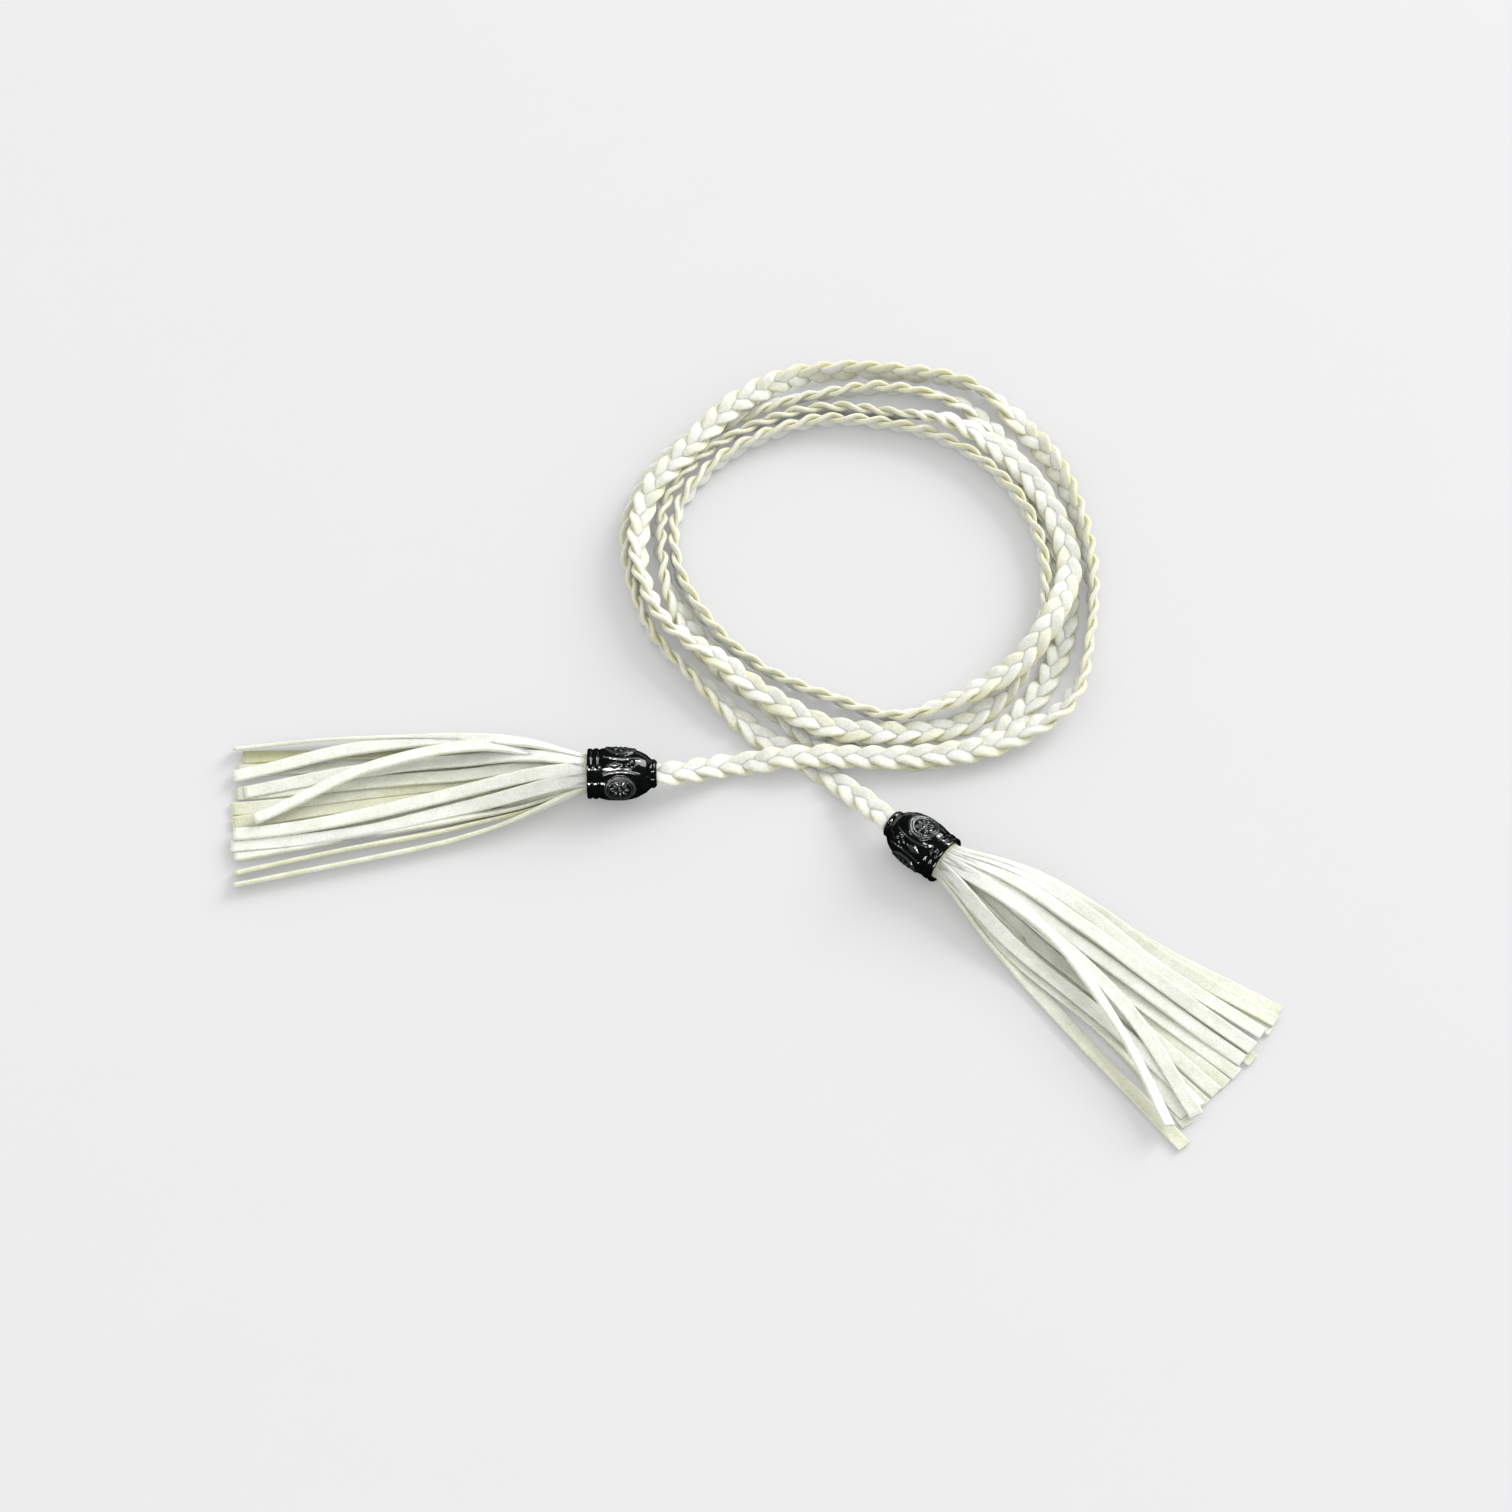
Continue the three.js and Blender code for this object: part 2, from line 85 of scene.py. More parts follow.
# Share of the crease colour on a lace, as painted shade on its edges and on the side that faces the laces
# it crosses, and as a random yellowing along it.
LACE_EDGE_SHADE = 0.3
EDGE_FROM = 0.7
LACE_UNDER_SHADE = 0.6
YELLOW_TINT = 0.4
YELLOW_SPACING = 50

# Beads, in millimetres
BEAD_LENGTH = 19.2
BEAD_RADIUS = 7.55
RELIEF_HEIGHT = 0.35
BODY_RADIUS = BEAD_RADIUS - RELIEF_HEIGHT
RIM_BORE = 6.0
NECK_BORE = 3.3
BEAD_LEVEL = (BEAD_RADIUS - BRAID_THICK / 2) / (BRAID_THICK + LAYER_GAP)
BEAD_RINGS = 150
BEAD_SIDES = 216
OUTLINE_BLUR = (0.25, 0.5, 0.25)

# Tassels, in millimetres. Strips swell outside the bead, come to rest at FALL_SHARE of their length, wave
# more and more between the LOOSE shares, and lose TIP_DROP of their level between DROP_FROM and the tip.
TASSEL_LENGTH = 100.0
STRIP_WIDTH = 3.9
STRIP_THICK = 1.0
STRIP_LAYER = 1.2
STRIP_STEPS = 70
PLAN_STEPS = 40
STRIP_FUZZ = 0.03
HEAD_RADIUS = 5.5
HEAD_DEPTH = 8.0
HEAD_ROUNDING = 0.5
HEAD_END = 0.9
HEAD_SIDES = 24
ROOT_IN_HEAD = 3.0
FALL_SHARE = 0.42
LOOSE = (0.08, 0.4)
TIP_DROP = 0.5
DROP_FROM = 0.6
SWELL = 1.0
SWELL_LENGTH = 34.0
SWELL_POWER = 1.5

# How far a strip strays in degrees of turn, sideways and in curl, and over what distance.
STRAY_TURN = (12, 25)
STRAY_ASIDE = (0.3, 22)
STRAY_CURL = (0.25, 30)

# Share of the crease colour painted as shade on strips that lie low and flat on the floor, how it fades
# out up to so many layers underneath, how its strength varies at random from strip to strip and along one,
# and the painted shade that the cut edges add.
LOW_SHADE = {"left": 0.6, "right": 0.3}
LOW_SHADE_LAYERS = 1.9
LOW_SHADE_RANGE = (0.6, 1.2)
STRAY_LOW_SHADE = (0.4, 18)
CUT_EDGE_SHADE = 0.14
CUT_FROM = 0.45

# A strip's cross section, as shares of its width and thickness.
STRIP_SECTION = [
    (-0.5, -0.3),
    (-0.46, -0.5),
    (-0.4, -0.52),
    (0, -0.5),
    (0.4, -0.52),
    (0.46, -0.5),
    (0.5, -0.3),
    (0.5, 0.3),
    (0.46, 0.5),
    (0.4, 0.52),
    (0.3, 0.5),
    (0, 0.48),
    (-0.3, 0.5),
    (-0.4, 0.52),
    (-0.46, 0.5),
    (-0.5, 0.3),
]

# Direction from the coil's middle in degrees; then, lap by lap, reach as a share of COIL_RADIUS, level in
# layers above the floor and twist in degrees.
COIL = [
    (280, (1.09, 0.955, 0.855, 1.07), (1.1, 1, 0, 0), (0, 180, 116, 360)),
    (300, (1.175, 0.99, 0.89, 1.13), (1.1, 0, 0.9, 0), (0, 180, 145, 360)),
    (320, (1.25, 0.955, 0.945, 1.09), (0.8, 0, 2, 0), (-45, 165, 175, 360)),
    (340, (1.165, 0.92, 0.98, 1.04), (0, 0, 2.8, 0), (-90, 100, 180, 360)),
    (0, (1.115, 0.895, 1.01, 0.99), (0, 0, 1.15, 0), (-75, 90, 180, 360)),
    (20, (1.11, 0.878, 0.985, 0.97), (0, 0, 1.15, 0), (-60, 85, 180, 360)),
    (40, (1.15, 0.863, 0.955, 1), (0, 0, 1.4, 0), (-20, 75, 180, 365)),
    (60, (1.205, 0.853, 0.935, 1.08), (0, 0, 1.2, 0), (68, 70, 215, 395)),
    (80, (1.157, 0.837, 0.9, 1.055), (0, 0, 0, 0), (88, 70, 250, 430)),
    (100, (1.145, 0.862, 0.93, 1.015), (0.1, 0, 0, 0), (105, 70, 250, 425)),
    (120, (1.08, 0.875, 0.95, 1.055), (1.8, 0, 0, 0), (150, 80, 245, 385)),
    (140, (1.03, 0.905, 0.995, 1.105), (2.3, 0, 0, 0), (170, 87, 232, 360)),
    (160, (1.07, 0.923, 1.005, 1.12), (2.1, 0, 0, 0), (175, 90, 235, 345)),
    (180, (1.05, 0.867, 0.935, 1.09), (1.3, 0, 0, 0), (130, 90, 270, 300)),
    (200, (0.99, 0.797, 0.89, 1.055), (1.4, 0, 0, 0), (125, 95, 335, 275)),
    (220, (0.89, 0.755, 0.855, 1), (2.3, 0, 0, 0), (160, 105, 358, 305)),
    (240, (0.88, 0.735, 0.865, 1.035), (1.8, 0, 0, 0), (180, 114, 358, 350)),
    (260, (0.925, 0.757, 0.985), (1.2, 0, 0), (180, 116, 360)),
]

# The tails, x and y from the coil's middle as shares of COIL_RADIUS, and level. The left one has no twist.
RIGHT_TWIST = 360
LEFT_TAIL = [
    (-1.097, -1.19, BEAD_LEVEL),
    (-0.997, -1.19, BEAD_LEVEL),
    (-0.897, -1.188, 2.15),
    (-0.783, -1.155, 1.5),
    (-0.667, -1.115, 0.75),
    (-0.55, -1.09, 0.45),
    (-0.433, -1.088, 1.1),
    (-0.308, -1.072, 1.15),
    (-0.147, -1.065, 1.1),
    (0.02, -1.072, 1.1),
]
RIGHT_TAIL = [
    (-0.415, -0.97, 0),
    (-0.295, -1.047, 0),
    (-0.178, -1.125, 0),
    (-0.075, -1.222, 0.45),
    (0.015, -1.323, 1.4),
    (0.09, -1.413, 2.15),
    (0.167, -1.477, BEAD_LEVEL),
    (0.243, -1.54, BEAD_LEVEL),
]

# Neck face's x and y from the coil's middle as shares of COIL_RADIUS, heading and roll in degrees.
Bead = namedtuple("Bead", "x y heading roll")
BEADS = {
    "left": Bead(-0.947, -1.19, 180, 20),
    "right": Bead(0.127, -1.445, -39.5, 75),
}

# Clock angle and share of the head's radius at the mouth; distance across at a third, two thirds and the
# tip, and length, as shares of TASSEL_LENGTH; layers underneath; turn at the tip.
STRIPS = {
    "left": [
        (190, 0.82, -0.13, -0.138, -0.108, 0.995, 1.2, 55),
        (160, 0.82, -0.095, -0.096, -0.09, 0.97, 0, 10),
        (140, 0.82, -0.122, -0.1, -0.02, 0.99, 3.2, 0),
        (105, 0.82, -0.065, -0.032, 0.028, 0.955, 2.2, 0),
        (120, 0.4, -0.088, -0.022, 0.123, 0.92, 4.4, 30),
        (90, 0.4, -0.046, -0.01, 0.024, 0.98, 0.17, 0),
        (60, 0.4, -0.008, 0.034, 0.078, 0.99, 0.34, 0),
        (75, 0.82, 0.035, 0.122, 0.165, 0.975, 3.4, 0),
        (30, 0.5, 0.034, 0.072, 0.122, 0.985, 0.51, 0),
        (45, 0.82, 0.085, 0.165, 0.196, 0.98, 2.3, 0),
        (10, 0.82, 0.074, 0.13, 0.172, 0.97, 0.68, 0),
        (340, 0.82, 0.105, 0.168, 0.228, 0.97, 1.2, 20),
        (320, 0.82, 0.128, 0.2, 0.282, 0.965, 0, 50),
        (350, 0.82, 0.165, 0.246, 0.32, 0.965, 0.17, 60),
        (225, 0.82, -0.062, -0.056, -0.055, 0.98, 0.34, 0),
        (95, 0.55, -0.024, 0, 0.03, 0.975, 1.1, 0),
        (290, 0.82, 0.05, 0.115, 0.215, 0.95, 1.1, 0),
    ],
    "right": [
        (10, 0.82, 0.15, 0.186, 0.238, 0.955, 0, 0),
        (35, 0.82, 0.156, 0.163, 0.205, 0.965, 1.1, 0),
        (350, 0.82, 0.12, 0.14, 0.18, 0.97, 0.17, 0),
        (55, 0.82, 0.135, 0.128, 0.15, 0.96, 2.2, 0),
        (75, 0.82, 0.09, 0.09, 0.1, 0.965, 3.3, 0),
        (320, 0.82, 0.06, 0.08, 0.075, 0.985, 0.34, 0),
        (95, 0.82, 0.05, 0.05, 0.052, 0.965, 2.3, 0),
        (90, 0.4, 0.016, 0.016, 0.012, 0.975, 1.1, 0),
        (270, 0.5, 0, -0.01, -0.03, 0.97, 0.51, 0),
        (130, 0.4, -0.02, -0.036, -0.065, 0.965, 1.2, 0),
        (70, 0.4, 0.012, -0.03, -0.155, 0.965, 3.4, 0),
        (115, 0.82, 0.01, -0.08, -0.235, 0.93, 5, -40),
        (150, 0.82, -0.05, -0.075, -0.11, 0.96, 0.68, 0),
        (140, 0.82, -0.075, -0.09, -0.13, 0.955, 2.4, 0),
        (170, 0.82, -0.088, -0.11, -0.17, 0.94, 1.2, 0),
        (210, 0.82, -0.06, -0.106, -0.185, 0.96, 0, 0),
        (190, 0.82, -0.11, -0.18, -0.245, 0.99, 0.17, -10),
    ],
}

# Place along the bead from neck to rim and radius, as shares of its length and of BODY_RADIUS.
BEAD_OUTLINE = [
    (0, 0.46),
    (0.012, 0.5),
    (0.035, 0.56),
    (0.055, 0.56),
    (0.07, 0.54),
    (0.1, 0.6),
    (0.15, 0.73),
    (0.22, 0.83),
    (0.3, 0.91),
    (0.4, 0.97),
    (0.5, 1.0),
    (0.68, 1.0),
    (0.76, 0.985),
    (0.81, 0.965),
    (0.825, 0.925),
    (0.835, 0.925),
    (0.85, 0.975),
    (0.9, 0.98),
    (0.915, 0.93),
    (0.93, 0.925),
    (0.945, 0.97),
    (0.985, 0.97),
    (1.0, 0.93),
]

# The bore from rim to neck: place as a share of the bead's length, and radius in millimetres.
BEAD_BORE = [
    (1.0, RIM_BORE + 0.3),
    (0.985, RIM_BORE),
    (0.4, RIM_BORE),
    (0.27, NECK_BORE),
    (0.01, NECK_BORE),
    (0.0, NECK_BORE + 0.1),
]

# Carved ornament. Places, starts and ends along the bead are shares of its length, and each dot also has a
# distance aside. HALF_PETAL is in degrees and PETAL_SPREAD is about the same in radians. The rest is in
# millimetres, and RIDGE_POWER rounds every edge.
RIDGE_POWER = 0.6
CARVED_SIDES = 3
ROSETTE_PLACE = 0.52
RING_RADIUS = 4.0
RING_WIDTH = 0.42
LINE_RADIUS = 3.25
LINE_WIDTH = 0.22
LINE_HEIGHT = 0.75
HEART_RADIUS = 0.75
HALF_PETAL = 22.5
PETAL_SPREAD = 0.39
PETAL_MIDDLE = 1.95
PETAL_LENGTH = 0.95
PETAL_WIDTH = 0.5
LEAF_PLACE = 0.6
LEAF_LENGTH = 2.4
LEAF_WIDTH = 1.1
BAND_START = (0.2, 0.26)
BAND_END = (0.74, 0.79)
BAND_ASIDE = 1.9
BAND_BOW = 0.035
BAND_WIDTH = 0.3
BAND_HEIGHT = 0.8
DOT_RADIUS = 0.42
DOTS = ((0.3, 0), (0.36, 0.9), (0.36, -0.9), (0.42, 0))

# Camera, in metres
CAMERA_AIM = (0.0023, -0.0056, 0)
CAMERA_ELEVATION = math.radians(60)
CAMERA_DISTANCE = 1.0

# Light and floor, in metres
FLOOR_HALF = 9.0
FLOOR_COLOUR = (0.39, 0.39, 0.393)
FLOOR_MOTTLE = 0.995
FLOOR_GLOW = 0.22
SKY = (1.0, 1.0, 1.0)
SKY_STRENGTH = 1.18
LAMP_AIM = (0.02, 0.02, 0)

# Lamp name, place, width and height in metres, and watts.
KEY = ("key", (3.6, 3.0, 2.9), (3.2, 3.2), 290.0)

# The same for strips of light that show only as reflections, above all in the beads' glaze.
GLEAMS = [
    ("gleam_over", (0.0, -0.3, 1.4), (0.9, 0.13), 24.0),
    ("gleam_front", (-0.1, -1.3, 0.28), (0.9, 0.09), 16.0),
    ("gleam_side", (-1.1, 0.1, 0.9), (0.1, 0.5), 9.0),
    ("gleam_back", (0.5, 1.0, 0.9), (0.6, 0.1), 9.0),
]

# Colours, linear
WHITE = np.array([0.73, 0.74, 0.70])
# Crease colour of the strips: painted shade on low strips, on cut edges and on the head inside the bead.
CREASE_SHADE = np.array([0.56, 0.57, 0.31])
LACE_WHITE = np.array([0.70, 0.71, 0.68])
# Crease colour of the laces: painted shade on their edges and crossings, and also their random yellowing.
LACE_SHADE_AND_YELLOW = np.array([0.64, 0.625, 0.41])
BLACK = np.array([0.004, 0.005, 0.005])
WORN = np.array([0.05, 0.055, 0.052])


def smooth(value, low, high):
    """Zero below low, one above high and smooth between."""
    share = np.clip((value - low) / (high - low), 0, 1)
    return share * share * (3 - 2 * share)


def lift(width, thick, twist, level, layer):
    """Height of the middle of a flat bar above the floor."""
    angle = np.radians(twist)
    return width / 2 * abs(np.sin(angle)) + thick / 2 * abs(np.cos(angle)) + level * layer


def wander(run, size, spacing, rng):
    """A smooth random line between -size and size, with a new value at each spacing."""
    count = int(run[-1] / spacing) + 4
    knots = rng.uniform(-1, 1, count)
    at = (run - run[0]) / spacing
    low = np.floor(at).astype(int)
    share = smooth(at - low, 0, 1)
    return size * (knots[low] * (1 - share) + knots[low + 1] * share)


def unit(vectors):
    """The same directions, each of length one."""
    return vectors / np.linalg.norm(vectors, axis=1)[:, None]


def through(rows, per_row):
    """A uniform Catmull-Rom line through the rows."""
    rows = np.asarray(rows, float)
    rows = np.vstack([2 * rows[0] - rows[1], rows, 2 * rows[-1] - rows[-2]])
    line = []
    for i in range(1, len(rows) - 2):
        a, b, c, d = rows[i - 1:i + 3]
        t = np.arange(per_row)[:, None] / per_row
        line.append(0.5 * (2 * b + (c - a) * t + (2 * a - 5 * b + 4 * c - d) * t ** 2
                           + (3 * b - a - 3 * c + d) * t ** 3))
    return np.vstack(line + [rows[-2:-1]])


def centripetal(points, per_row):
    """A centripetal Catmull-Rom line through points of the plan."""
    points = np.vstack([2 * points[0] - points[1], points, 2 * points[-1] - points[-2]])
    line = []
    for i in range(1, len(points) - 2):
        a, b, c, d = points[i - 1:i + 3]
        before = np.linalg.norm(b - a) ** 0.5
        here = np.linalg.norm(c - b) ** 0.5
        after = np.linalg.norm(d - c) ** 0.5
        leave = ((b - a) / before - (c - a) / (before + here) + (c - b) / here) * here
        arrive = ((c - b) / here - (d - b) / (here + after) + (d - c) / after) * here
        t = np.arange(per_row)[:, None] / per_row
        line.append(b + leave * t + (-3 * b + 3 * c - 2 * leave - arrive) * t ** 2
                    + (2 * b - 2 * c + leave + arrive) * t ** 3)
    return np.vstack(line + [points[-2:-1]])


def resample(line, step):
    """Rows at equal distances along the line's first three columns."""
    run = np.concatenate([[0], np.cumsum(np.linalg.norm(np.diff(line[:, :3], axis=0), axis=1))])
    count = int(round(run[-1] / step))
    at = np.linspace(0, run[-1], count + 1)
    return at, np.column_stack([np.interp(at, run, column) for column in line.T])


def tube(rings):
    """Vertices and faces of a closed sweep through rings of points, capped at both ends."""
    count, sides = rings.shape[:2]
    faces = []
    for i in range(count - 1):
        for k in range(sides):
            n = (k + 1) % sides
            faces.append((i * sides + k, i * sides + n, (i + 1) * sides + n, (i + 1) * sides + k))
    faces.append(tuple(range(sides - 1, -1, -1)))
    faces.append(tuple((count - 1) * sides + k for k in range(sides)))
    return rings.reshape(-1, 3), faces


def add_mesh(name, parts, material):
    """One smooth object, in metres, from parts of vertices, faces and a shade per vertex."""
    points = []
    faces = []
    start = 0
    for vertices, part_faces, shades in parts:
        points.append(vertices)
        faces += [tuple(start + i for i in face) for face in part_faces]
        start += len(vertices)
    mesh = bpy.data.meshes.new(name)
    mesh.from_pydata((np.vstack(points) * MM).tolist(), [], faces)
    mesh.update()
    mesh.polygons.foreach_set("use_smooth", [True] * len(mesh.polygons))
    colours = np.ones((start, 4), np.float32)
    colours[:, :3] = np.concatenate([shades for vertices, part_faces, shades in parts])
    layer = mesh.color_attributes.new("shade", "FLOAT_COLOR", "POINT")
    layer.data.foreach_set("color", colours.ravel())
    mesh.materials.append(material)
    piece = bpy.data.objects.new(name, mesh)
    bpy.context.collection.objects.link(piece)
    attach(piece, "root")
    return piece


def set_node(tree, kind, inputs=(), **settings):
    """A new node with its settings and the values of its inputs."""
    node = tree.nodes.new(kind)
    for key, value in settings.items():
        setattr(node, key, value)
    for key, value in inputs:
        node.inputs[key].default_value = value
    return node


def noise(tree, scale, detail, roughness):
    """Noise over the object, with so many waves to the metre."""
    place = tree.nodes.new("ShaderNodeTexCoord").outputs["Object"]
    inputs = (("Scale", scale), ("Detail", detail), ("Roughness", roughness))
    node = set_node(tree, "ShaderNodeTexNoise", inputs)
    tree.links.new(place, node.inputs["Vector"])
    return node.outputs["Fac"]


def ramp(tree, source, stops):
    """A colour ramp of (place, colour) stops, fed from a socket."""
    node = tree.nodes.new("ShaderNodeValToRGB")
    for element, (place, colour) in zip(node.color_ramp.elements, stops):
        element.position = place
        element.color = (*colour, 1)
    tree.links.new(source, node.inputs["Fac"])
    return node.outputs["Color"]


def multiply(tree, first, second):
    """The product of two colours. A mix node's colour sockets go by number."""
    node = set_node(tree, "ShaderNodeMix", data_type="RGBA", blend_type="MULTIPLY")
    node.inputs[0].default_value = 1.0
    tree.links.new(first, node.inputs[6])
    tree.links.new(second, node.inputs[7])
    return node.outputs[2]


def spread(tree, source, socket, low, high):
    """Feeds a socket with noise spread between two values."""
    inputs = (("From Min", 0.35), ("From Max", 0.65), ("To Min", low), ("To Max", high))
    node = set_node(tree, "ShaderNodeMapRange", inputs)
    tree.links.new(source, node.inputs["Value"])
    tree.links.new(node.outputs["Result"], socket)


def rough_up(tree, source, shader, strength, distance):
    """Bumps a shader's surface by noise."""
    node = set_node(tree, "ShaderNodeBump", (("Strength", strength), ("Distance", distance)))
    tree.links.new(source, node.inputs["Height"])
    tree.links.new(node.outputs["Normal"], shader.inputs["Normal"])


def shaded_material(name):
    """A material whose base colour will come from the points' shade."""
    material = bpy.data.materials.new(name)
    material.use_nodes = True
    tree = material.node_tree
    shade = set_node(tree, "ShaderNodeVertexColor", layer_name="shade").outputs["Color"]
    return material, tree, tree.nodes["Principled BSDF"], shade


def make_suede():
    """Napped white suede: shade from the points, mottle and nap from noise."""
    material, tree, shader, shade = shaded_material("suede")
    shader.inputs["Roughness"].default_value = 0.9
    shader.inputs["Specular IOR Level"].default_value = 0.2
    shader.inputs["Sheen Weight"].default_value = 0.25
    shader.inputs["Sheen Roughness"].default_value = 0.5
    shader.inputs["Subsurface Weight"].default_value = 0.6
    shader.inputs["Subsurface Radius"].default_value = (1.0, 1.0, 0.85)
    shader.inputs["Subsurface Scale"].default_value = 0.0012
    cloud = noise(tree, scale=170.0, detail=4.0, roughness=0.6)
    mottle = ramp(tree, cloud, ((0.34, (0.9, 0.905, 0.86)), (0.6, (1.0, 1.0, 1.0))))
    nap = noise(tree, scale=1900.0, detail=6.0, roughness=0.75)
    grain = ramp(tree, nap, ((0.38, (0.84, 0.84, 0.78)), (0.56, (1.0, 1.0, 1.0))))
    tree.links.new(multiply(tree, multiply(tree, shade, mottle), grain), shader.inputs["Base Color"])
    rough_up(tree, nap, shader, strength=0.8, distance=0.0004)
    return material


def make_glaze():
    """Glossy black glaze with fine pits."""
    material, tree, shader, shade = shaded_material("glaze")
    shader.inputs["Specular IOR Level"].default_value = 0.5
    cloud = noise(tree, scale=420.0, detail=4.0, roughness=0.6)
    mottle = ramp(tree, cloud, ((0.35, (0.55, 0.58, 0.58)), (0.65, (1.0, 1.0, 1.0))))
    tree.links.new(multiply(tree, shade, mottle), shader.inputs["Base Color"])
    spread(tree, cloud, shader.inputs["Roughness"], low=0.05, high=0.12)
    pits = noise(tree, scale=1500.0, detail=3.0, roughness=0.5)
    rough_up(tree, pits, shader, strength=0.2, distance=0.0001)
    return material


def make_paper():
    """Plain pale floor, faintly lit from below as on a light table."""
    material = bpy.data.materials.new("floor_paper")
    material.use_nodes = True
    tree = material.node_tree
    shader = tree.nodes["Principled BSDF"]
    shader.inputs["Roughness"].default_value = 0.9
    shader.inputs["Specular IOR Level"].default_value = 0.1
    shader.inputs["Emission Color"].default_value = (1, 1, 1, 1)
    shader.inputs["Emission Strength"].default_value = FLOOR_GLOW
    cloud = noise(tree, scale=40.0, detail=2.0, roughness=0.5)
    darker = tuple(FLOOR_MOTTLE * value for value in FLOOR_COLOUR)
    mottle = ramp(tree, cloud, ((0.3, darker), (0.7, FLOOR_COLOUR)))
    tree.links.new(mottle, shader.inputs["Base Color"])
    return material


def braid_route():
    """Distance along, middle, direction across and face direction, in millimetres."""
    rows = [(COIL_RADIUS * x, COIL_RADIUS * y, level, 0) for x, y, level in LEFT_TAIL]
    for lap in range(LAPS):
        for turn, reach, level, twist in COIL:
            if lap < len(reach):
                angle = math.radians(turn)
                rows.append((COIL_RADIUS * reach[lap] * math.cos(angle),
                             COIL_RADIUS * reach[lap] * math.sin(angle), level[lap], twist[lap]))
    rows += [(COIL_RADIUS * x, COIL_RADIUS * y, level, RIGHT_TWIST) for x, y, level in RIGHT_TAIL]
    line = through(rows, ROUTE_STEPS)
    height = lift(BRAID_WIDTH, BRAID_THICK, line[:, 3], line[:, 2], BRAID_THICK + LAYER_GAP)
    line = np.column_stack([COIL_X + line[:, 0], COIL_Y + line[:, 1], height, line[:, 3]])
    run, line = resample(line, LACE_STEP)
    middle = line[:, :3]
    along = unit(np.gradient(middle, axis=0))
    out = unit(np.cross(along, [0, 0, 1]))
    up = np.cross(out, along)
    angle = np.radians(-line[:, 3])[:, None]
    across = out * np.cos(angle) + up * np.sin(angle)
    face = np.cross(across, along)
    return run, middle, across, face


def lace_part(run, middle, across, face, start, rng):
    """Vertices, faces and shades of one lace, which starts so far round the plait's wave."""
    phase = 2 * np.pi * run / (LACE_COUNT * LOBE_PITCH) + start + wander(run, *STRAY_PHASE, rng)
    free = smooth(np.minimum(run, run[-1] - run), END_FROM, END_TO)
    side = LACE_SWING * (END_SWING + (1 - END_SWING) * free) * np.sin(phase)
    high = LACE_LIFT * (1 + wander(run, *STRAY_LIFT, rng)) * np.sin(2 * phase)
    centre = middle + across * side[:, None] + face * high[:, None]
    along = unit(np.gradient(centre, axis=0))
    wide = unit(across - along * np.sum(across * along, axis=1)[:, None])
    thick = np.cross(wide, along)
    tilt = LACE_TILT * np.cos(phase) + wander(run, *STRAY_TILT, rng)
    wide, thick = (wide * np.cos(tilt)[:, None] + thick * np.sin(tilt)[:, None],
                   thick * np.cos(tilt)[:, None] - wide * np.sin(tilt)[:, None])
    half = LACE_WIDTH / 2 * (END_WIDTH + (1 - END_WIDTH) * free) * (1 + wander(run, *STRAY_WIDTH, rng))
    angles = 2 * np.pi * (np.arange(LACE_SIDES) + 0.5) / LACE_SIDES
    x = np.sign(np.cos(angles)) * np.abs(np.cos(angles)) ** LACE_SIDE_POWER
    y = np.sign(np.sin(angles)) * np.abs(np.sin(angles)) ** LACE_FACE_POWER * LACE_THICK / 2
    rings = (centre[:, None, :] + wide[:, None, :] * (half[:, None] * x)[:, :, None]
             + thick[:, None, :] * y[None, :, None])
    rings += rng.uniform(-LACE_FUZZ, LACE_FUZZ, rings.shape)
    rings[:, :, 2] = np.maximum(rings[:, :, 2], LEAST_HEIGHT)
    # Painted shade on the lace's edges and on the side that faces the laces it crosses; the yellowing is a
    # random tone along the lace.
    edge = smooth(np.abs(x), EDGE_FROM, 1)[None, :]
    under = 0.5 - 0.5 * np.sin(2 * phase)[:, None] * np.sign(y)[None, :]
    yellowed = smooth(wander(run, 1, YELLOW_SPACING, rng), 0, 1)[:, None]
    tint = np.clip(LACE_EDGE_SHADE * edge + LACE_UNDER_SHADE * under ** 2 + YELLOW_TINT * yellowed, 0, 1)[:, :, None]
    vertices, faces = tube(rings)
    return vertices, faces, (LACE_WHITE * (1 - tint) + LACE_SHADE_AND_YELLOW * tint).reshape(-1, 3)


